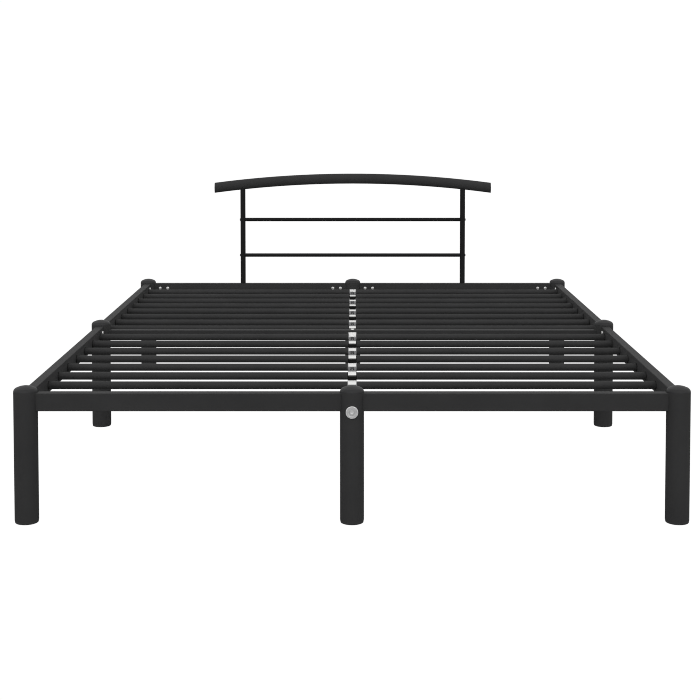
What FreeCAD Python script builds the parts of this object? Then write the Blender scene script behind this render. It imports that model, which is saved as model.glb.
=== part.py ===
import FreeCAD, Part
import os
from math import asin, atan2, cos, degrees, pi, sin, sqrt
from FreeCAD import Vector

# Double bed frame in steel tube, with an arched headboard. Millimetres, +Z up, +X to the right seen from
# the foot end, +Y towards the head end. The origin is on the floor, under the middle of the bed.

# Driving dimensions: the plan of the bed.
LEG_SPAN_X = 1630.0             # left leg axis to right leg axis
LEG_SPAN_Y = 2030.0             # foot leg axis to head leg axis
SLATS_PER_HALF = 8              # slat rows between the foot end and the cross rail, and again to the head end
SLAT_PITCH = 122.0

# Legs, caps and feet.
LEG_RADIUS = 30.0
LEG_WALL = 1.5
LEG_TOP = 329.5                 # top of the tube, where the cap sits
CAP_RISE = 15.5
CAP_SHOULDER = 11.0             # the round that joins the cap's crown to the leg's side
CAP_SHELL = 2.0
FOOT_HEIGHT = 7.0
FOOT_BASE_RADIUS = 29.0
FOOT_EDGE = 1.2
PLUG_GAP = 0.3                  # plug to the inside of the leg
PLUG_LENGTH = 15.0

# Rails: rectangular tube, width across by height.
RAIL_WIDTH = 25.0
RAIL_HEIGHT = 45.0
RAIL_TOP = 327.5
RAIL_WALL = 1.5
RAIL_CORNER = 2.0
RAIL_BORE_CORNER = 0.9
CROSS_RAIL_HEIGHT = 30.0
CROSS_RAIL_TOP = 313.0
JOINT_GAP = 0.3                 # clearance between pieces that slide together

# Stubs welded to the legs, inside the rail ends.
STUB_WALL = 2.0
STUB_CORNER = 1.2
STUB_BORE_CORNER = 0.5
STUB_ROOT = 5.0                 # how far a stub runs inside the leg's outer face, before the leg is bored
END_STUB_REACH = 95.0           # from the leg axis, along an end rail or the cross rail
SIDE_STUB_REACH = 66.0          # shorter, to stay clear of the first slat socket

# Rail bolts, all on the inner faces.
RAIL_BOLT_RADIUS = 4.0
RAIL_BOLT_HOLE_RADIUS = 4.3
RAIL_BOLT_HEAD_RADIUS = 6.5
RAIL_BOLT_HEAD_HEIGHT = 4.0
RAIL_BOLT_LENGTH = 14.0
RAIL_BOLT_HEX = 5.0
HEX_DEPTH = 2.5
DOMED = 0.8                     # share of a head's height that its rounded edge takes up
NUT_ACROSS_FLATS = 13.0
NUT_HEIGHT = 6.5
END_BOLT_REACHES = (49.0, 79.0) # two in a row along an end rail, from the leg axis
END_BOLT_Z = 309.0
SIDE_BOLT_REACH = 46.0          # two above each other on a side rail
SIDE_BOLT_HEIGHTS = (310.0, 294.0)

# Slats, their sockets in the side rails, and what joins them over the centre beam.
SLAT_RADIUS = 10.25
SLAT_WALL = 1.2
SLAT_TUCK = 11.5                # how far a slat enters the side rail
SOCKET_WALL = 1.0
SOCKET_FLOOR = 1.5
SOCKET_FLANGE_RADIUS = 12.5
SOCKET_FLANGE = 1.2
JOINER_FLANGE = 1.6
JOINER_HALF_WIDTH = 12.6        # centre plane to the slat ends
JOINER_HALF_LENGTH = 10.0
SPIGOT_RADIUS = 8.75
SPIGOT_LENGTH = 20.0
PEG_RADIUS = 2.5
PEG_LENGTH = 8.0
NOTCH_HALF_WIDTH = 5.5
NOTCH_FLOOR = 2.5
CLIP_SCREW_HEAD_RADIUS = 4.5
CLIP_SCREW_HEAD_HEIGHT = 2.8
CLIP_SCREW_LENGTH = 12.0
CLIP_SCREW_SLOT_DEPTH = 1.6
CLIP_SCREW_SLOT_HALF_WIDTH = 0.5
LINK_EDGE = 1.5

# Centre beam and the strip on it.
BEAM_WIDTH = 25.0
BEAM_HEIGHT = 20.0
BEAM_PLUG_LENGTH = 25.0
STRIP_THICKNESS = 2.0
STRIP_EDGE = 0.6
STRIP_UPSTAND = 14.0            # the strip's head end turns up this far against the cross rail or the leg
BRACKET_TONGUE = 60.0
CROSS_BOLT_RADIUS = 3.0
CROSS_BOLT_HEAD_RADIUS = 6.0
CROSS_BOLT_HEAD_HEIGHT = 3.5
CROSS_BOLT_HEX = 4.0

# Big bolts through the centre legs.
CENTER_BOLT_Z = 284.0
CENTER_BOLT_HEAD_RADIUS = 15.5
CENTER_BOLT_HEAD_HEIGHT = 3.5
CENTER_BOLT_EDGE = 0.12         # share of the head's height that its edge rounding takes up
CENTER_BOLT_GROOVE = (6.5, 11.0)  # inner and outer radius of the ring sunk into the head
CENTER_BOLT_GROOVE_DEPTH = 1.2
CENTER_BOLT_RADIUS = 4.0
CENTER_BOLT_HEX_DEPTH = 2.0

# Headboard.
POST_SPACING = 873.0
POST_RADIUS = 10.0
POST_WALL = 1.5
POST_END_PLUG = 20.0
TOP_RAIL_LENGTH = 1096.0        # straight across, with the end caps
TOP_RAIL_HEIGHT = 40.0
TOP_RAIL_DEPTH = 25.0
TOP_RAIL_WALL = 1.8
TOP_RAIL_CROWN = 765.0          # highest point of the bed
TOP_RAIL_ARC_RADIUS = 4130.0
END_CAP_THICKNESS = 3.0
END_CAP_PLUG = 12.0
POST_TUCK = 10.0                # how far a post enters the top rail
BAR_RADIUS = 7.0
BAR_WALL = 1.2
BAR_COPE = 1.5                  # how far a bar's end and a screw's head reach round the post
BAR_HEIGHTS = {"headboard_bar_lower": 440.0, "headboard_bar_upper": 582.0}
BAR_SCREW_RADIUS = 2.5
BAR_SCREW_HEAD_RADIUS = 5.0
BAR_SCREW_HEAD_HEIGHT = 2.5
BAR_SCREW_DEPTH = 18.0
BAR_SCREW_HEX = 3.0
BAR_SCREW_HEX_DEPTH = 1.5
BAR_SCREW_DOME = 0.55
POST_BOLT_LENGTH = 18.0

# Worked out from the dimensions above.
SIDE_X = LEG_SPAN_X / 2
END_Y = LEG_SPAN_Y / 2
LEG_BORE = LEG_RADIUS - LEG_WALL
COPE_RADIUS = LEG_RADIUS + JOINT_GAP
RAIL_AXIS_Z = RAIL_TOP - RAIL_HEIGHT / 2
CROSS_RAIL_AXIS_Z = CROSS_RAIL_TOP - CROSS_RAIL_HEIGHT / 2
SLAT_Z = CROSS_RAIL_TOP - SLAT_RADIUS
FIRST_SLAT = (END_Y - (SLATS_PER_HALF - 1) * SLAT_PITCH) / 2
STRIP_TOP = SLAT_Z - SLAT_RADIUS
BEAM_TOP = STRIP_TOP - STRIP_THICKNESS
BEAM_AXIS_Z = BEAM_TOP - BEAM_HEIGHT / 2
ARC_CENTER_Z = TOP_RAIL_CROWN - TOP_RAIL_HEIGHT / 2 - TOP_RAIL_ARC_RADIUS
POST_BOTTOM = RAIL_TOP - RAIL_HEIGHT + RAIL_WALL
HALF_CENTERS = {"foot": -1, "head": 1}
SIDES = {"left": -1, "right": 1}

X_AXIS = Vector(1, 0, 0)
Y_AXIS = Vector(0, 1, 0)
Z_AXIS = Vector(0, 0, 1)

nodes = {}


def cylinder(radius, start, direction, length):
    return Part.makeCylinder(radius, length, start, direction)


def box(x_low, x_high, y_low, y_high, z_low, z_high):
    return Part.makeBox(x_high - x_low, y_high - y_low, z_high - z_low, Vector(x_low, y_low, z_low))


def turned(points, x, y):
    """A solid turned about the vertical through (x, y). A point is (radius, z), or an arc's (mid, end)."""
    edges = []
    last = points[0]
    for point in points[1:] + [points[0]]:
        if isinstance(point[0], tuple):
            middle, end = point
            edges.append(Part.Arc(Vector(last[0], 0, last[1]), Vector(middle[0], 0, middle[1]),
                                  Vector(end[0], 0, end[1])).toShape())
            last = end
        else:
            edges.append(Part.makeLine(Vector(last[0], 0, last[1]), Vector(point[0], 0, point[1])))
            last = point
    solid = Part.Face(Part.Wire(edges)).revolve(Vector(0, 0, 0), Z_AXIS, 360)
    solid.translate(Vector(x, y, 0))
    return solid


def bar_section(width, height, corner, start, direction, length):
    """A solid rectangular bar with rounded long edges. width is horizontal and across the direction."""
    if abs(direction.x) > 0.5:
        low = Vector(min(start.x, start.x + direction.x * length), start.y - width / 2, start.z - height / 2)
        bar = Part.makeBox(length, width, height, low)
    else:
        low = Vector(start.x - width / 2, min(start.y, start.y + direction.y * length), start.z - height / 2)
        bar = Part.makeBox(width, length, height, low)
    long_edges = [edge for edge in bar.Edges if abs(edge.tangentAt(0).dot(direction)) > 0.9]
    return bar.makeFillet(corner, long_edges)


def rectangular_tube(width, height, wall, corner, start, direction, length):
    outer = bar_section(width, height, corner, start, direction, length)
    inner = bar_section(width - 2 * wall, height - 2 * wall, RAIL_BORE_CORNER, start, direction, length)
    return outer.cut(inner)


def round_tube(radius, wall, start, direction, length):
    return cylinder(radius, start, direction, length).cut(cylinder(radius - wall, start, direction, length))


def leg_cylinder(radius, x, y):
    return cylinder(radius, Vector(x, y, 0), Z_AXIS, TOP_RAIL_CROWN)


def button_head(radius, height, face, direction, rounding):
    """A round head on face, standing out along direction. rounding is the share of it that is rounded."""
    head = cylinder(radius, face, direction, height)
    rim = [edge for edge in head.Edges
           if abs((edge.CenterOfMass - face).dot(direction) - height) < 0.01 and len(edge.Vertexes) == 1]
    return head.makeFillet(height * rounding, rim)


def hexagon(across_flats, height, center, direction):
    """A hexagonal prism that starts at center and runs along direction, with two flats facing up and down."""
    side = X_AXIS if abs(direction.x) < 0.5 else Y_AXIS
    up = direction.cross(side)
    corner_radius = across_flats / sqrt(3)
    angles = [pi * index / 3 for index in range(7)]
    corners = [center + (side * cos(angle) + up * sin(angle)) * corner_radius for angle in angles]
    return Part.Face(Part.makePolygon(corners)).extrude(direction * height)


def slat_rows():
    """The Y of each slat row, from the foot end to the head end."""
    offsets = [FIRST_SLAT + SLAT_PITCH * index for index in range(SLATS_PER_HALF)]
    return [offset - END_Y for offset in offsets] + offsets


def row_has_clip(index):
    """Clips and joiners take turns, starting with a joiner after each cross member."""
    return index % 2 == 1


# Rail ends. Each joint of a rail on a leg is the leg's x and y, the way the rail leaves it, and the way the
# rail's bolted face looks.

def end_rail_joints():
    joints = []
    for end_y in (-END_Y, END_Y):
        inward = Y_AXIS if end_y < 0 else -Y_AXIS
        for leg_x in (-SIDE_X, 0.0, SIDE_X):
            for away in (X_AXIS, -X_AXIS):
                if abs(leg_x + away.x) < SIDE_X:
                    joints.append((leg_x, end_y, away, inward))
    return joints


def side_rail_joints():
    joints = []
    for side_x in (-SIDE_X, SIDE_X):
        inward = X_AXIS if side_x < 0 else -X_AXIS
        for leg_y in (-END_Y, 0.0, END_Y):
            for away in (Y_AXIS, -Y_AXIS):
                if abs(leg_y + away.y) < END_Y:
                    joints.append((side_x, leg_y, away, inward))
    return joints


def cross_rail_joints():
    return [(-SIDE_X, 0.0, X_AXIS, Y_AXIS), (SIDE_X, 0.0, -X_AXIS, Y_AXIS)]


def bolt_faces():
    """Every rail bolt: the point where its head meets the rail, and the way the head looks."""
    faces = []
    for leg_x, leg_y, away, inward in end_rail_joints():
        for reach in END_BOLT_REACHES:
            face = Vector(leg_x, leg_y, END_BOLT_Z) + away * reach + inward * (RAIL_WIDTH / 2)
            faces.append((face, inward))
    for leg_x, leg_y, away, inward in side_rail_joints():
        for height in SIDE_BOLT_HEIGHTS:
            face = Vector(leg_x, leg_y, height) + away * SIDE_BOLT_REACH + inward * (RAIL_WIDTH / 2)
            faces.append((face, inward))
    for leg_x, leg_y, away, inward in cross_rail_joints():
        for reach in END_BOLT_REACHES:
            face = Vector(leg_x, leg_y, CROSS_RAIL_AXIS_Z) + away * reach + inward * (RAIL_WIDTH / 2)
            faces.append((face, inward))
    return faces


def bolt_holes(near_x, near_y, reach):
    """The bolt holes within reach of a point, as one shape that goes through the inner walls only."""
    holes = [cylinder(RAIL_BOLT_HOLE_RADIUS, face + inward, -inward, RAIL_BOLT_LENGTH - RAIL_BOLT_HEAD_HEIGHT)
             for face, inward in bolt_faces()
             if abs(face.x - near_x) < reach and abs(face.y - near_y) < reach]
    return Part.makeCompound(holes)


def stub(leg_x, leg_y, away, reach, rail_height, axis_z):
    """The welded tongue inside a rail end. Returns the outer bar and the hollow inside it."""
    width = RAIL_WIDTH - 2 * RAIL_WALL - 2 * JOINT_GAP
    height = rail_height - 2 * RAIL_WALL - 2 * JOINT_GAP
    root = LEG_RADIUS - STUB_ROOT
    start = Vector(leg_x, leg_y, axis_z) + away * root
    outer = bar_section(width, height, STUB_CORNER, start, away, reach - root)
    bore_start = Vector(leg_x, leg_y, axis_z) + away * LEG_RADIUS
    bore_width = width - 2 * STUB_WALL
    bore_height = height - 2 * STUB_WALL
    hollow = bar_section(bore_width, bore_height, STUB_BORE_CORNER, bore_start, away, reach)
    return outer, hollow


def leg(leg_x, leg_y):
    body = cylinder(LEG_RADIUS, Vector(leg_x, leg_y, FOOT_HEIGHT), Z_AXIS, LEG_TOP - FOOT_HEIGHT)
    hollows = []
    kinds = ((end_rail_joints(), END_STUB_REACH, RAIL_HEIGHT, RAIL_AXIS_Z),
             (side_rail_joints(), SIDE_STUB_REACH, RAIL_HEIGHT, RAIL_AXIS_Z),
             (cross_rail_joints(), END_STUB_REACH, CROSS_RAIL_HEIGHT, CROSS_RAIL_AXIS_Z))
    for joints, reach, rail_height, axis_z in kinds:
        for joint_x, joint_y, away, inward in joints:
            if joint_x == leg_x and joint_y == leg_y:
                outer, hollow = stub(leg_x, leg_y, away, reach, rail_height, axis_z)
                body = body.fuse(outer)
                hollows.append(hollow)
    for hollow in hollows:
        body = body.cut(hollow)
    body = body.cut(leg_cylinder(LEG_BORE, leg_x, leg_y))
    body = body.cut(bolt_holes(leg_x, leg_y, END_STUB_REACH))
    if leg_x == 0:
        start = Vector(0, leg_y - LEG_RADIUS, CENTER_BOLT_Z)
        body = body.cut(cylinder(CENTER_BOLT_RADIUS + JOINT_GAP, start, Y_AXIS, 2 * LEG_RADIUS))
    return body


def leg_cap(leg_x, leg_y):
    """A thin domed cap, flat-crowned with round shoulders, and a plug that enters the leg."""
    plug = LEG_BORE - PLUG_GAP
    inside = plug - CAP_SHELL
    plug_end = LEG_TOP - PLUG_LENGTH
    crown = LEG_TOP + CAP_RISE
    reach = LEG_RADIUS - CAP_SHOULDER
    sphere = (reach ** 2 + CAP_RISE ** 2 - CAP_SHOULDER ** 2) / (2 * (CAP_RISE - CAP_SHOULDER))
    lean = atan2(reach, sphere - CAP_RISE)
    round_off = (lean + pi / 2) / 2
    crown_mid, crown_end = [(sphere * sin(a), crown - sphere + sphere * cos(a)) for a in (lean / 2, lean)]
    shoulder_mid = (reach + CAP_SHOULDER * sin(round_off), LEG_TOP + CAP_SHOULDER * cos(round_off))
    hollow = CAP_RISE - CAP_SHELL
    inner = (inside ** 2 + hollow ** 2) / (2 * hollow)
    half_angle = asin(inside / inner) / 2
    hollow_mid = (inner * sin(half_angle), LEG_TOP + hollow - inner + inner * cos(half_angle))
    outline = [(0, crown), (crown_mid, crown_end), (shoulder_mid, (LEG_RADIUS, LEG_TOP)), (plug, LEG_TOP),
               (plug, plug_end), (inside, plug_end), (inside, LEG_TOP), (hollow_mid, (0, crown - CAP_SHELL))]
    return turned(outline, leg_x, leg_y)


def leg_foot(leg_x, leg_y):
    """A plastic foot: a shallow tapered base with a rounded edge, and a plug that enters the leg."""
    plug = LEG_BORE - PLUG_GAP
    inside = plug - CAP_SHELL
    top = FOOT_HEIGHT + PLUG_LENGTH
    edge_mid = (FOOT_BASE_RADIUS - FOOT_EDGE * (1 - sin(pi / 4)), FOOT_EDGE * (1 - cos(pi / 4)))
    outline = [(0, 0), (FOOT_BASE_RADIUS - FOOT_EDGE, 0), (edge_mid, (FOOT_BASE_RADIUS, FOOT_EDGE)),
               (LEG_RADIUS, FOOT_HEIGHT), (plug, FOOT_HEIGHT), (plug, top), (inside, top),
               (inside, 2 * CAP_SHELL), (0, 2 * CAP_SHELL)]
    return turned(outline, leg_x, leg_y)


def make_legs():
    rows = {"foot": -END_Y, "middle": 0.0, "head": END_Y}
    columns = {"left": -SIDE_X, "center": 0.0, "right": SIDE_X}
    for row, leg_y in rows.items():
        places = [(column, leg_x) for column, leg_x in columns.items() if row != "middle" or leg_x != 0]
        for column, leg_x in places:
            nodes["leg_" + row + "_" + column] = leg(leg_x, leg_y)
        nodes["leg_caps_" + row] = Part.makeCompound([leg_cap(leg_x, leg_y) for column, leg_x in places])
        nodes["leg_feet_" + row] = Part.makeCompound([leg_foot(leg_x, leg_y) for column, leg_x in places])


def make_end_rails():
    """The two halves of the foot rail and of the head rail, between the corner and centre legs."""
    for end, end_sign in HALF_CENTERS.items():
        for side, side_sign in SIDES.items():
            leg_y = end_sign * END_Y
            start = Vector(min(0, side_sign * SIDE_X), leg_y, RAIL_AXIS_Z)
            rail = rectangular_tube(RAIL_WIDTH, RAIL_HEIGHT, RAIL_WALL, RAIL_CORNER, start, X_AXIS, SIDE_X)
            for leg_x in (0.0, side_sign * SIDE_X):
                rail = rail.cut(leg_cylinder(COPE_RADIUS, leg_x, leg_y))
                rail = rail.cut(bolt_holes(leg_x, leg_y, END_STUB_REACH))
            if end == "head":
                post_x = side_sign * POST_SPACING / 2
                inside_rail = Vector(post_x, leg_y, RAIL_AXIS_Z)
                rail = rail.cut(cylinder(POST_RADIUS + JOINT_GAP, inside_rail, Z_AXIS, RAIL_HEIGHT))
                rail = rail.cut(cylinder(RAIL_BOLT_HOLE_RADIUS, inside_rail, -Z_AXIS, RAIL_HEIGHT))
            nodes["rail_" + end + "_" + side] = rail


def make_side_rails():
    """The side rails in two halves, with a row of slat socket holes in the inner wall."""
    hole_radius = SLAT_RADIUS + SOCKET_WALL + 2 * PLUG_GAP
    for side, side_sign in SIDES.items():
        for end, end_sign in HALF_CENTERS.items():
            side_x = side_sign * SIDE_X
            start = Vector(side_x, min(0, end_sign * END_Y), RAIL_AXIS_Z)
            rail = rectangular_tube(RAIL_WIDTH, RAIL_HEIGHT, RAIL_WALL, RAIL_CORNER, start, Y_AXIS, END_Y)
            for leg_y in (0.0, end_sign * END_Y):
                rail = rail.cut(leg_cylinder(COPE_RADIUS, side_x, leg_y))
                rail = rail.cut(bolt_holes(side_x, leg_y, END_STUB_REACH))
            for row_y in slat_rows():
                if row_y * end_sign > 0:
                    start = Vector(side_x, row_y, SLAT_Z)
                    rail = rail.cut(cylinder(hole_radius, start, X_AXIS * -side_sign, RAIL_WIDTH))
            nodes["rail_side_" + side + "_" + end] = rail


def make_cross_rail():
    """One lower rail between the middle legs, with an upright hole for the bracket's bolt."""
    start = Vector(-SIDE_X, 0, CROSS_RAIL_AXIS_Z)
    rail = rectangular_tube(RAIL_WIDTH, CROSS_RAIL_HEIGHT, RAIL_WALL, RAIL_CORNER, start, X_AXIS, LEG_SPAN_X)
    for leg_x in (-SIDE_X, SIDE_X):
        rail = rail.cut(leg_cylinder(COPE_RADIUS, leg_x, 0))
        rail = rail.cut(bolt_holes(leg_x, 0, END_STUB_REACH))
    bolt_hole = cylinder(CROSS_BOLT_RADIUS + JOINT_GAP, Vector(0, 0, 0), Z_AXIS, RAIL_TOP)
    nodes["rail_cross_middle"] = rail.cut(bolt_hole)


def beam_hole(row_y):
    return cylinder(PEG_RADIUS + JOINT_GAP, Vector(0, row_y, BEAM_AXIS_Z), Z_AXIS, BEAM_HEIGHT)


def make_center_beams():
    """The two centre beams, each with a welded plug for the big bolt, and the strip on top of each."""
    inner_end = RAIL_WIDTH / 2 + JOINT_GAP
    for end, end_sign in HALF_CENTERS.items():
        leg_y = end_sign * END_Y
        outward = Y_AXIS * end_sign
        length = END_Y - inner_end
        start = Vector(0, end_sign * inner_end, BEAM_AXIS_Z)
        beam = rectangular_tube(BEAM_WIDTH, BEAM_HEIGHT, RAIL_WALL, RAIL_CORNER, start, outward, length)
        plug_y = end_sign * (END_Y - LEG_RADIUS - BEAM_PLUG_LENGTH)
        plug_start = Vector(0, plug_y, BEAM_AXIS_Z)
        plug_width = BEAM_WIDTH - RAIL_WALL
        plug_height = BEAM_HEIGHT - RAIL_WALL
        plug = bar_section(plug_width, plug_height, STUB_CORNER, plug_start, outward, BEAM_PLUG_LENGTH)
        beam = beam.fuse(plug).cut(leg_cylinder(COPE_RADIUS, 0, leg_y))
        bolt_start = Vector(0, plug_y, CENTER_BOLT_Z)
        beam = beam.cut(cylinder(CENTER_BOLT_RADIUS + PLUG_GAP, bolt_start, outward, LEG_RADIUS))
        strip_start = Vector(0, end_sign * inner_end, BEAM_TOP + STRIP_THICKNESS / 2)
        strip = bar_section(BEAM_WIDTH, STRIP_THICKNESS, STRIP_EDGE, strip_start, outward, length)
        # Both strips turn up at their head end: against the cross rail's near face, and against the head leg.
        stop_y = -inner_end if end == "foot" else END_Y - COPE_RADIUS
        upstand = box(-BEAM_WIDTH / 2, BEAM_WIDTH / 2, stop_y - STRIP_THICKNESS, stop_y,
                      BEAM_TOP, STRIP_TOP + STRIP_UPSTAND)
        strip = strip.fuse(upstand).removeSplitter().cut(leg_cylinder(COPE_RADIUS, 0, leg_y))
        for row_y in slat_rows():
            if row_y * end_sign > 0:
                beam = beam.cut(beam_hole(row_y))
                strip = strip.cut(beam_hole(row_y))
        nodes["center_beam_" + end] = beam
        nodes["center_strip_" + end] = strip


def make_center_bracket():
    """A block under the cross rail whose tongues enter both centre beams, and the bolt that holds it."""
    half_block = RAIL_WIDTH / 2
    block_top = CROSS_RAIL_TOP - CROSS_RAIL_HEIGHT
    block_bottom = BEAM_TOP - BEAM_HEIGHT
    block = box(-BEAM_WIDTH / 2, BEAM_WIDTH / 2, -half_block, half_block, block_bottom, block_top)
    tongue_low = block_bottom + RAIL_WALL + JOINT_GAP
    tongue_height = block_top - STUB_CORNER - tongue_low
    tongue_width = BEAM_WIDTH - 2 * RAIL_WALL - 2 * JOINT_GAP
    reach = half_block + BRACKET_TONGUE
    tongue_start = Vector(0, -reach, tongue_low + tongue_height / 2)
    tongues = bar_section(tongue_width, tongue_height, STUB_CORNER, tongue_start, Y_AXIS, 2 * reach)
    bolt_hole = cylinder(CROSS_BOLT_RADIUS + PLUG_GAP / 2, Vector(0, 0, block_bottom), Z_AXIS, BEAM_HEIGHT)
    nodes["center_joint_bracket"] = block.fuse(tongues).cut(bolt_hole)
    top = Vector(0, 0, CROSS_RAIL_TOP)
    head = button_head(CROSS_BOLT_HEAD_RADIUS, CROSS_BOLT_HEAD_HEIGHT, top, Z_AXIS, DOMED)
    socket_floor = top + Z_AXIS * (CROSS_BOLT_HEAD_HEIGHT - HEX_DEPTH)
    socket = hexagon(CROSS_BOLT_HEX, HEX_DEPTH, socket_floor, Z_AXIS)
    shank = cylinder(CROSS_BOLT_RADIUS, top, -Z_AXIS, CROSS_RAIL_TOP - block_bottom)
    nodes["center_joint_bolt"] = head.cut(socket).fuse(shank)


def make_slats():
    """Each row is a left and a right tube, from inside the side rail to the joiner or clip at the centre."""
    outer_end = SIDE_X - RAIL_WIDTH / 2 + SLAT_TUCK
    length = outer_end - JOINER_HALF_WIDTH
    for index, row_y in enumerate(slat_rows()):
        row = [round_tube(SLAT_RADIUS, SLAT_WALL, Vector(sign * JOINER_HALF_WIDTH, row_y, SLAT_Z),
                          X_AXIS * sign, length) for sign in SIDES.values()]
        nodes["slat_row_%02d" % (index + 1)] = Part.makeCompound(row)


def slat_socket(side_sign, row_y):
    """A blind plastic socket in the side rail, with a flange on the rail's inner face."""
    into_rail = X_AXIS * side_sign
    face = Vector(side_sign * (SIDE_X - RAIL_WIDTH / 2), row_y, SLAT_Z)
    mouth = face - into_rail * SOCKET_FLANGE
    depth = SLAT_TUCK + PLUG_GAP
    sleeve_radius = SLAT_RADIUS + SOCKET_WALL + PLUG_GAP / 2
    flange = button_head(SOCKET_FLANGE_RADIUS, SOCKET_FLANGE, face, -into_rail, DOMED)
    socket = flange.fuse(cylinder(sleeve_radius, face, into_rail, depth + SOCKET_FLOOR))
    return socket.cut(cylinder(SLAT_RADIUS + PLUG_GAP / 3, mouth, into_rail, SOCKET_FLANGE + depth))


def make_slat_sockets():
    sockets = [slat_socket(side_sign, row_y) for side_sign in SIDES.values() for row_y in slat_rows()]
    nodes["slat_sockets"] = Part.makeCompound(sockets)


def slat_link(row_y):
    """What a joiner and a clip share: a block on the strip, and a flange and a spigot at each slat end."""
    inner = JOINER_HALF_WIDTH - JOINER_FLANGE
    link = box(-inner, inner, row_y - JOINER_HALF_LENGTH, row_y + JOINER_HALF_LENGTH, STRIP_TOP, SLAT_Z)
    long_edges = [edge for edge in link.Edges
                  if abs(edge.tangentAt(0).x) > 0.9 and edge.CenterOfMass.z > STRIP_TOP + LINK_EDGE]
    link = link.makeFillet(LINK_EDGE, long_edges)
    for sign in SIDES.values():
        flange_start = Vector(sign * inner, row_y, SLAT_Z)
        link = link.fuse(cylinder(SLAT_RADIUS, flange_start, X_AXIS * sign, JOINER_FLANGE))
        link = link.fuse(cylinder(SPIGOT_RADIUS, flange_start, X_AXIS * sign, JOINER_FLANGE + SPIGOT_LENGTH))
    return link


def slat_joiner(row_y):
    peg = cylinder(PEG_RADIUS, Vector(0, row_y, STRIP_TOP), -Z_AXIS, PEG_LENGTH)
    return slat_link(row_y).fuse(peg)


def slat_clip(row_y):
    """A clip is a joiner with a notch towards the foot end, where its screw goes down into the beam."""
    notch_floor = STRIP_TOP + NOTCH_FLOOR
    notch_start = row_y - 2 * JOINER_HALF_LENGTH
    notch = box(-NOTCH_HALF_WIDTH, NOTCH_HALF_WIDTH, notch_start, row_y, notch_floor, LEG_TOP)
    back = cylinder(NOTCH_HALF_WIDTH, Vector(0, row_y, notch_floor), Z_AXIS, LEG_TOP)
    hole = cylinder(PEG_RADIUS + PLUG_GAP / 2, Vector(0, row_y, STRIP_TOP), Z_AXIS, SLAT_RADIUS)
    return slat_link(row_y).cut(notch).cut(back).cut(hole)


def clip_screw(row_y):
    seat = Vector(0, row_y, STRIP_TOP + NOTCH_FLOOR)
    head = button_head(CLIP_SCREW_HEAD_RADIUS, CLIP_SCREW_HEAD_HEIGHT, seat, Z_AXIS, DOMED)
    slot_floor = seat.z + CLIP_SCREW_HEAD_HEIGHT - CLIP_SCREW_SLOT_DEPTH
    blade = CLIP_SCREW_SLOT_HALF_WIDTH
    for half_x, half_y in ((PEG_RADIUS, blade), (blade, PEG_RADIUS)):
        head = head.cut(box(-half_x, half_x, row_y - half_y, row_y + half_y, slot_floor, SLAT_Z))
    return head.fuse(cylinder(PEG_RADIUS, seat, -Z_AXIS, CLIP_SCREW_LENGTH))


def make_slat_links():
    rows = list(enumerate(slat_rows()))
    clip_rows = [row_y for index, row_y in rows if row_has_clip(index)]
    joiner_rows = [row_y for index, row_y in rows if not row_has_clip(index)]
    nodes["slat_joiners"] = Part.makeCompound([slat_joiner(row_y) for row_y in joiner_rows])
    nodes["slat_clips"] = Part.makeCompound([slat_clip(row_y) for row_y in clip_rows])
    nodes["clip_screws"] = Part.makeCompound([clip_screw(row_y) for row_y in clip_rows])


def rail_bolt(face, inward, length=RAIL_BOLT_LENGTH):
    """A domed head with a hexagonal socket, on a shank that goes the other way."""
    head = button_head(RAIL_BOLT_HEAD_RADIUS, RAIL_BOLT_HEAD_HEIGHT, face, inward, DOMED)
    socket_floor = face + inward * (RAIL_BOLT_HEAD_HEIGHT - HEX_DEPTH)
    head = head.cut(hexagon(RAIL_BOLT_HEX, HEX_DEPTH, socket_floor, inward))
    return head.fuse(cylinder(RAIL_BOLT_RADIUS, face, -inward, length))


def rail_nut(face, inward):
    """A nut inside the stub, against its wall."""
    seat = face - inward * (RAIL_WALL + JOINT_GAP + STUB_WALL)
    nut = hexagon(NUT_ACROSS_FLATS, NUT_HEIGHT, seat, -inward)
    return nut.cut(cylinder(RAIL_BOLT_RADIUS + PLUG_GAP / 3, seat, -inward, NUT_HEIGHT))


def make_rail_bolts():
    faces = bolt_faces()
    nodes["rail_bolts"] = Part.makeCompound([rail_bolt(face, inward) for face, inward in faces])
    nodes["rail_nuts"] = Part.makeCompound([rail_nut(face, inward) for face, inward in faces])


def center_leg_bolt(end_sign):
    """A large flat head with a raised rim and centre, on a shank through the leg into the beam's plug."""
    outward = Y_AXIS * end_sign
    face = Vector(0, end_sign * (END_Y + LEG_RADIUS), CENTER_BOLT_Z)
    # The head's back is hollowed to the leg's curve, so it starts deeper than the leg's front line.
    seat_depth = LEG_RADIUS - sqrt(LEG_RADIUS ** 2 - CENTER_BOLT_HEAD_RADIUS ** 2)
    back = face - outward * seat_depth
    head_height = CENTER_BOLT_HEAD_HEIGHT + seat_depth
    head = button_head(CENTER_BOLT_HEAD_RADIUS, head_height, back, outward, CENTER_BOLT_EDGE)
    front = face + outward * CENTER_BOLT_HEAD_HEIGHT
    groove_floor = front - outward * CENTER_BOLT_GROOVE_DEPTH
    inner_radius, outer_radius = CENTER_BOLT_GROOVE
    head = head.cut(round_tube(outer_radius, outer_radius - inner_radius, groove_floor, outward, seat_depth))
    hex_floor = front - outward * CENTER_BOLT_HEX_DEPTH
    head = head.cut(hexagon(RAIL_BOLT_HEX, CENTER_BOLT_HEX_DEPTH, hex_floor, outward))
    head = head.cut(leg_cylinder(LEG_RADIUS, 0, end_sign * END_Y))
    shank_length = 2 * LEG_RADIUS + BEAM_PLUG_LENGTH / 2
    return head.fuse(cylinder(CENTER_BOLT_RADIUS, face, -outward, shank_length))


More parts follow.
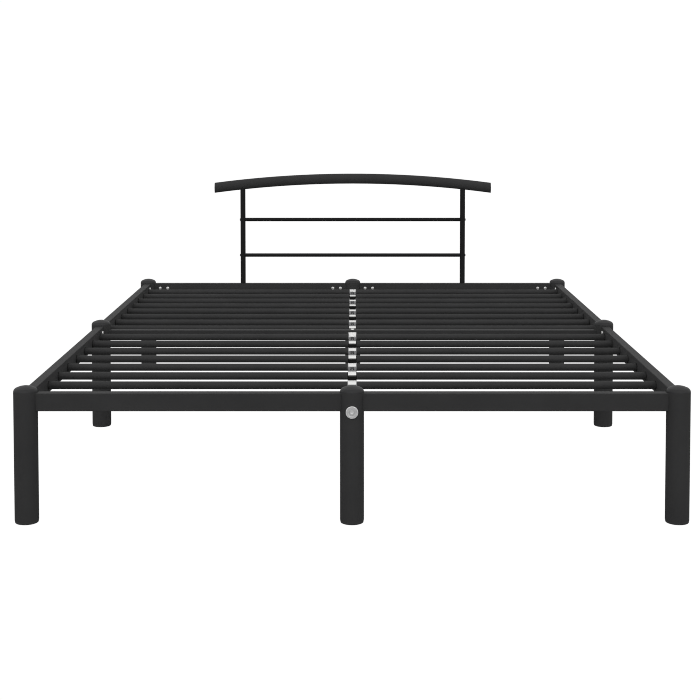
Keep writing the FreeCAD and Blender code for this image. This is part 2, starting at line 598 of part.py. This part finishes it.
def make_center_leg_bolts():
    bolts = [center_leg_bolt(end_sign) for end_sign in HALF_CENTERS.values()]
    nodes["center_leg_bolts"] = Part.makeCompound(bolts)


def top_rail_z(x):
    """Height of the arched rail's middle line."""
    return ARC_CENTER_Z + sqrt(TOP_RAIL_ARC_RADIUS ** 2 - x ** 2)


def oval_arc(height, depth, x_low, x_high):
    """An oval bar bent along the headboard's arc, between two vertical planes."""
    half_angle = asin(TOP_RAIL_LENGTH / TOP_RAIL_ARC_RADIUS)
    ring_center = Vector(0, END_Y, ARC_CENTER_Z)
    radial = Vector(-sin(half_angle), 0, cos(half_angle))
    # The ellipse starts flat and long along X. It is turned to stand along the radial direction.
    oval = Part.Ellipse(Vector(0, 0, 0), height / 2, depth / 2).toShape()
    oval.rotate(Vector(0, 0, 0), X_AXIS, 90)
    oval.rotate(Vector(0, 0, 0), Y_AXIS, -degrees(half_angle) - 90)
    oval.rotate(Vector(0, 0, 0), radial, 90)
    oval.translate(ring_center + radial * TOP_RAIL_ARC_RADIUS)
    bar = Part.Face(Part.Wire([oval])).revolve(ring_center, Y_AXIS, degrees(2 * half_angle))
    return bar.common(box(x_low, x_high, END_Y - depth, END_Y + depth, 0, 2 * TOP_RAIL_CROWN))


def make_top_rail():
    """The arched oval tube and its two end caps."""
    half_tube = TOP_RAIL_LENGTH / 2 - END_CAP_THICKNESS
    bore_height = TOP_RAIL_HEIGHT - 2 * TOP_RAIL_WALL
    bore_depth = TOP_RAIL_DEPTH - 2 * TOP_RAIL_WALL
    plug_height = bore_height - 2 * PLUG_GAP
    plug_depth = bore_depth - 2 * PLUG_GAP
    tube = oval_arc(TOP_RAIL_HEIGHT, TOP_RAIL_DEPTH, -half_tube, half_tube)
    tube = tube.cut(oval_arc(bore_height, bore_depth, -TOP_RAIL_LENGTH, TOP_RAIL_LENGTH))
    caps = []
    for sign in SIDES.values():
        post_x = sign * POST_SPACING / 2
        start = Vector(post_x, END_Y, top_rail_z(post_x) - TOP_RAIL_HEIGHT)
        tube = tube.cut(cylinder(POST_RADIUS + PLUG_GAP / 3, start, Z_AXIS, TOP_RAIL_HEIGHT / 2 + POST_TUCK))
        cap_ends = sorted((sign * half_tube, sign * TOP_RAIL_LENGTH / 2))
        plug_ends = sorted((sign * (half_tube - END_CAP_PLUG), sign * half_tube))
        cap = oval_arc(TOP_RAIL_HEIGHT, TOP_RAIL_DEPTH, *cap_ends)
        caps.append(cap.fuse(oval_arc(plug_height, plug_depth, *plug_ends)))
    nodes["headboard_top_rail"] = tube
    nodes["headboard_end_caps"] = Part.makeCompound(caps)


def make_posts():
    """The posts stand inside the head rail, with a plug in the foot for the bolt, and enter the top rail."""
    bolts = []
    for side, sign in SIDES.items():
        post_x = sign * POST_SPACING / 2
        foot = Vector(post_x, END_Y, POST_BOTTOM)
        top = top_rail_z(post_x) - TOP_RAIL_HEIGHT / 2 + POST_TUCK
        post = round_tube(POST_RADIUS, POST_WALL, foot, Z_AXIS, top - POST_BOTTOM)
        post = post.fuse(cylinder(POST_RADIUS - POST_WALL / 2, foot, Z_AXIS, POST_END_PLUG))
        post = post.cut(cylinder(RAIL_BOLT_RADIUS + PLUG_GAP / 3, foot, Z_AXIS, POST_END_PLUG))
        for height in BAR_HEIGHTS.values():
            start = Vector(post_x - POST_RADIUS * 2, END_Y, height)
            post = post.cut(cylinder(BAR_SCREW_RADIUS + PLUG_GAP, start, X_AXIS, POST_RADIUS * 4))
        nodes["headboard_post_" + side] = post
        bolts.append(rail_bolt(Vector(post_x, END_Y, POST_BOTTOM - RAIL_WALL), -Z_AXIS, POST_BOLT_LENGTH))
    nodes["headboard_post_bolts"] = Part.makeCompound(bolts)


def make_bars():
    """Two thin bars between the posts. Their ends are closed, fit the posts' curve and take the screws."""
    half_length = POST_SPACING / 2 - POST_RADIUS + BAR_COPE
    screws = []
    for name, height in BAR_HEIGHTS.items():
        bar = cylinder(BAR_RADIUS, Vector(-half_length, END_Y, height), X_AXIS, 2 * half_length)
        hollow = half_length - 2 * BAR_SCREW_DEPTH
        bar = bar.cut(cylinder(BAR_RADIUS - BAR_WALL, Vector(-hollow, END_Y, height), X_AXIS, 2 * hollow))
        for sign in SIDES.values():
            post_x = sign * POST_SPACING / 2
            post_foot = Vector(post_x, END_Y, 0)
            bar = bar.cut(cylinder(POST_RADIUS + PLUG_GAP / 2, post_foot, Z_AXIS, TOP_RAIL_CROWN))
            outer = Vector(sign * (POST_SPACING / 2 + POST_RADIUS), END_Y, height)
            away = X_AXIS * sign
            length = 2 * POST_RADIUS + BAR_SCREW_DEPTH
            bar = bar.cut(cylinder(BAR_SCREW_RADIUS + PLUG_GAP / 3, outer, -away, length))
            seat = outer - away * BAR_COPE
            head_height = BAR_SCREW_HEAD_HEIGHT + BAR_COPE
            head = button_head(BAR_SCREW_HEAD_RADIUS, head_height, seat, away, BAR_SCREW_DOME)
            head = head.cut(cylinder(POST_RADIUS, post_foot, Z_AXIS, TOP_RAIL_CROWN))
            hex_floor = outer + away * (BAR_SCREW_HEAD_HEIGHT - BAR_SCREW_HEX_DEPTH)
            head = head.cut(hexagon(BAR_SCREW_HEX, BAR_SCREW_HEX_DEPTH, hex_floor, away))
            screws.append(head.fuse(cylinder(BAR_SCREW_RADIUS, outer, -away, length - JOINT_GAP)))
        nodes[name] = bar
    nodes["headboard_bar_screws"] = Part.makeCompound(screws)


def make_bed():
    make_legs()
    make_end_rails()
    make_side_rails()
    make_cross_rail()
    make_center_beams()
    make_center_bracket()
    make_slats()
    make_slat_sockets()
    make_slat_links()
    make_rail_bolts()
    make_center_leg_bolts()
    make_top_rail()
    make_posts()
    make_bars()


make_bed()
os.makedirs("parts", exist_ok=True)
for name, shape in nodes.items():
    shape.exportStep("parts/" + name + ".step")
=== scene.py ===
import math

import bpy
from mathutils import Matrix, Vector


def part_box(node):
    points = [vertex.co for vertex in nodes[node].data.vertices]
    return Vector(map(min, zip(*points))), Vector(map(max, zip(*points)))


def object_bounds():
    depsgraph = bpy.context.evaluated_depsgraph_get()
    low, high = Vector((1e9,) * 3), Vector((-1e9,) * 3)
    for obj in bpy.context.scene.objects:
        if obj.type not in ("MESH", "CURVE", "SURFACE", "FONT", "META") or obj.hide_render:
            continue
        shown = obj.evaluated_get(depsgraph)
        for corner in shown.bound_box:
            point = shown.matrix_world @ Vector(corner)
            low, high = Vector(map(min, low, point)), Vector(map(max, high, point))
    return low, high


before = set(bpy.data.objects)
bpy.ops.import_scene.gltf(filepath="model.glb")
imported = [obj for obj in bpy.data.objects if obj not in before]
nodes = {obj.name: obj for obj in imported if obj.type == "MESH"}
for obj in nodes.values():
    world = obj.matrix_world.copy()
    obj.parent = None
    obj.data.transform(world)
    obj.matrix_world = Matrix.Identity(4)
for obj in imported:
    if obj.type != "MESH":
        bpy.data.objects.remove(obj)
cad_low, cad_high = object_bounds()
scene = bpy.context.scene

# The studio. Radiance 1 shows as white.
SEEN_WHITE = 1.02               # floor and backdrop, where the camera looks straight at them
FLOOR_TONE = 0.26               # the floor, for the light that it sends up to the bed
STUDIO_FRONT = 1.9              # light from the bed's foot end
STUDIO_REST = 1.0               # light from the sides, above and behind
FLOOR_REACH = 60                # half the floor's width, in lengths of the bed

# The camera, in metres and degrees, near the bed's centre plane and looking along it from the foot end.
CAMERA_ASIDE = 0.005
CAMERA_Y = -4.375
CAMERA_HEIGHT = 1.0557
CAMERA_TILT = 2.852
LENS = 69.9
LENS_SHIFT = (-0.0057, -0.26)


# ---------------------------------------------------------------- materials
def new_material(name):
    """A node material, with its tree, its Principled shader and a point in metres to drive patterns."""
    mat = bpy.data.materials.new(name)
    mat.use_nodes = True
    tree = mat.node_tree
    shader = tree.nodes["Principled BSDF"]
    place = tree.nodes.new("ShaderNodeTexCoord")
    return mat, tree, shader, place.outputs["Object"]


def noise(tree, place, scale, detail=2.0, rough=0.5):
    """A noise of that many features to a unit of place."""
    node = tree.nodes.new("ShaderNodeTexNoise")
    node.inputs["Scale"].default_value = scale
    node.inputs["Detail"].default_value = detail
    node.inputs["Roughness"].default_value = rough
    tree.links.new(place, node.inputs["Vector"])
    return node.outputs["Fac"]


def ramp(tree, value, *stops):
    """A colour ramp through (position, colour) stops."""
    node = tree.nodes.new("ShaderNodeValToRGB")
    band = node.color_ramp
    band.elements[0].position, band.elements[0].color = stops[0][0], (*stops[0][1], 1)
    band.elements[1].position, band.elements[1].color = stops[-1][0], (*stops[-1][1], 1)
    for position, colour in stops[1:-1]:
        band.elements.new(position).color = (*colour, 1)
    tree.links.new(value, node.inputs["Fac"])
    return node.outputs["Color"]


def spread(tree, value, low, high, start=0.35, end=0.65):
    """A value's range from start to end, drawn out to run from low to high. The default suits a noise."""
    node = tree.nodes.new("ShaderNodeMapRange")
    node.inputs["From Min"].default_value, node.inputs["From Max"].default_value = start, end
    node.inputs["To Min"].default_value, node.inputs["To Max"].default_value = low, high
    tree.links.new(value, node.inputs["Value"])
    return node.outputs["Result"]


def bump(tree, shader, height, distance, strength):
    node = tree.nodes.new("ShaderNodeBump")
    node.inputs["Distance"].default_value = distance
    node.inputs["Strength"].default_value = strength
    tree.links.new(height, node.inputs["Height"])
    tree.links.new(node.outputs["Normal"], shader.inputs["Normal"])


def finish_of(name, tint, tone, roughness, specular, grain, depth, strength=0.4, metallic=0.0):
    """A moulded or coated surface: tint varies by tone over hand-sized patches, roughness over fine specks,
    and grain is the number of bumps a metre, of that depth in metres."""
    mat, tree, shader, place = new_material(name)
    dark = [c * (1 - tone) for c in tint]
    light = [c * (1 + tone) for c in tint]
    cloud = noise(tree, place, 9.0, 4.0, 0.6)
    colour = ramp(tree, cloud, (0.3, dark), (0.5, tint), (0.7, light))
    tree.links.new(colour, shader.inputs["Base Color"])
    speck = noise(tree, place, grain * 0.35, 3.0, 0.55)
    tree.links.new(spread(tree, speck, *roughness), shader.inputs["Roughness"])
    bump(tree, shader, noise(tree, place, grain, 2.0, 0.5), depth, strength)
    shader.inputs["Specular IOR Level"].default_value = specular
    shader.inputs["Metallic"].default_value = metallic
    return mat


def painted_groove_metal(name, middle, radius):
    """Zinc-plated steel with colour bands about a bolt's axis, which runs along Y: the dark band is painted
    shade of the disc's groove, and the bright outer edge is a painted highlight on its rim.
    """
    mat, tree, shader, place = new_material(name)
    mapping = tree.nodes.new("ShaderNodeMapping")
    mapping.inputs["Location"].default_value = (-middle.x / radius, 0, -middle.z / radius)
    mapping.inputs["Scale"].default_value = (1 / radius, 0, 1 / radius)
    tree.links.new(place, mapping.inputs["Vector"])
    distance = tree.nodes.new("ShaderNodeVectorMath")
    distance.operation = "LENGTH"
    tree.links.new(mapping.outputs["Vector"], distance.inputs[0])
    # the dip to 0.66 paints the groove's shade, and the 1.0 at the outer edge paints the rim's highlight
    tones = ((0.0, 0.92), (0.25, 0.92), (0.42, 0.66), (0.60, 0.84), (0.84, 0.80), (0.93, 1.0), (1.0, 1.0))
    stops = [(share, (tone, tone, tone)) for share, tone in tones]
    rings = ramp(tree, distance.outputs["Value"], *stops)
    tree.links.new(rings, shader.inputs["Base Color"])
    brushed = noise(tree, mapping.outputs["Vector"], 9.0, 3.0, 0.6)
    tree.links.new(spread(tree, brushed, 0.30, 0.46), shader.inputs["Roughness"])
    bump(tree, shader, noise(tree, place, 1800, 2.0, 0.5), 0.00004, 0.3)
    shader.inputs["Metallic"].default_value = 1.0
    return mat


looks = {
    "black_coat": finish_of("black_coat_look", (0.0350, 0.0350, 0.0355), 0.08, (0.56, 0.68), 0.12,
                            1400, 0.00008),
    "black_screws": finish_of("black_screws_look", (0.016, 0.016, 0.017), 0.10, (0.34, 0.46), 0.5,
                              2600, 0.00005),
    "cap_plastic": finish_of("cap_plastic_look", (0.014, 0.014, 0.015), 0.08, (0.46, 0.58), 0.35,
                             2200, 0.00010),
    "foot_plastic": finish_of("foot_plastic_look", (0.036, 0.036, 0.037), 0.10, (0.55, 0.68), 0.3,
                              1800, 0.00012),
    "black_plastic": finish_of("black_plastic_look", (0.004, 0.004, 0.004), 0.10, (0.5, 0.6), 0.1,
                               2000, 0.00010),
    "grey_plastic": finish_of("grey_plastic_look", (0.18, 0.18, 0.185), 0.08, (0.42, 0.55), 0.5,
                              2000, 0.00010),
    "white_strip": finish_of("white_strip_look", (0.95, 0.95, 0.94), 0.02, (0.45, 0.60), 0.5, 1600, 0.00008),
    # painted shade: the black coat made darker for the headboard's thin bars and posts
    "thin_coat": finish_of("thin_coat_look", (0.010, 0.010, 0.0105), 0.08, (0.50, 0.62), 0.12, 1400, 0.00008),
    # painted shade: the screws' zinc darkened for the shade in the clips' notches
    "dull_zinc": finish_of("dull_zinc_look", (0.22, 0.22, 0.22), 0.08, (0.40, 0.55), 0.5,
                           1200, 0.00006, metallic=1.0),
    "zinc": finish_of("zinc_look", (0.74, 0.74, 0.73), 0.08, (0.28, 0.44), 0.5, 1200, 0.00006, 0.4, 1.0),
}
bolt_low, bolt_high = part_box("center_leg_bolts")
bolt_metal = painted_groove_metal("bolt_metal_look", (bolt_low + bolt_high) / 2, (bolt_high.x - bolt_low.x) / 2)

# The headboard's thin members read darker than the rest, so they get a darker copy of the black coat as
# painted shade, and the screws in the clips get a darker zinc than the bolts as painted shade of the clips'
# notches.
for name, node in nodes.items():
    for held in node.material_slots:
        kind = held.material.name.split(".")[0]
        thin = name.startswith("headboard_bar") or name.startswith("headboard_post")
        held.material = looks["thin_coat" if thin and kind == "black_coat" else kind]
        if name == "center_leg_bolts":
            held.material = bolt_metal
        if name == "clip_screws":
            held.material = looks["dull_zinc"]


# ---------------------------------------------------------------- floor, light and camera
def by_path(tree, seen, unseen, out):
    """White behind the object where the camera looks, a quieter studio for the light that falls on it."""
    path = tree.nodes.new("ShaderNodeLightPath")
    mix = tree.nodes.new("ShaderNodeMixShader")
    tree.links.new(path.outputs["Is Camera Ray"], mix.inputs["Fac"])
    tree.links.new(unseen, mix.inputs[1])
    tree.links.new(seen, mix.inputs[2])
    tree.links.new(mix.outputs[0], out)


size = max(cad_high - cad_low)
half = FLOOR_REACH * size
corners = [(-half, -half, 0), (half, -half, 0), (half, half, 0), (-half, half, 0)]
floor_mesh = bpy.data.meshes.new("floor")
floor_mesh.from_pydata(corners, [], [(0, 1, 2, 3)])
floor = bpy.data.objects.new("floor", floor_mesh)
scene.collection.objects.link(floor)
floor_mat = bpy.data.materials.new("pale_floor")
floor_mat.use_nodes = True
tree = floor_mat.node_tree
tree.nodes.remove(tree.nodes["Principled BSDF"])
glow = tree.nodes.new("ShaderNodeEmission")
glow.inputs["Strength"].default_value = SEEN_WHITE
matt = tree.nodes.new("ShaderNodeBsdfDiffuse")
matt.inputs["Color"].default_value = (FLOOR_TONE, FLOOR_TONE, FLOOR_TONE, 1)
by_path(tree, glow.outputs[0], matt.outputs[0], tree.nodes["Material Output"].inputs["Surface"])
floor_mesh.materials.append(floor_mat)

world = bpy.data.worlds.new("studio")
scene.world = world
world.use_nodes = True
tree = world.node_tree
back = tree.nodes["Background"]
back.inputs["Color"].default_value = (1, 1, 1, 1)
back.inputs["Strength"].default_value = SEEN_WHITE
soft = tree.nodes.new("ShaderNodeBackground")
direction = tree.nodes.new("ShaderNodeTexCoord")
split = tree.nodes.new("ShaderNodeSeparateXYZ")
tree.links.new(direction.outputs["Generated"], split.inputs[0])
light = spread(tree, split.outputs["Y"], STUDIO_FRONT, STUDIO_REST, -1.0, 0.0)
tree.links.new(light, soft.inputs["Strength"])
by_path(tree, back.outputs[0], soft.outputs[0], tree.nodes["World Output"].inputs["Surface"])

camera = bpy.data.objects.new("camera", bpy.data.cameras.new("camera"))
scene.collection.objects.link(camera)
lens = camera.data
lens.sensor_width, lens.lens = 36.0, LENS
lens.shift_x, lens.shift_y = LENS_SHIFT
lens.clip_start, lens.clip_end = 0.05, 500
centre = (cad_low + cad_high) / 2
camera.location = (centre.x + CAMERA_ASIDE, CAMERA_Y, CAMERA_HEIGHT)
camera.rotation_euler = (math.radians(90 - CAMERA_TILT), 0, 0)
scene.camera = camera
scene.view_settings.view_transform = "Standard"
scene.cycles.filter_width = 1.0
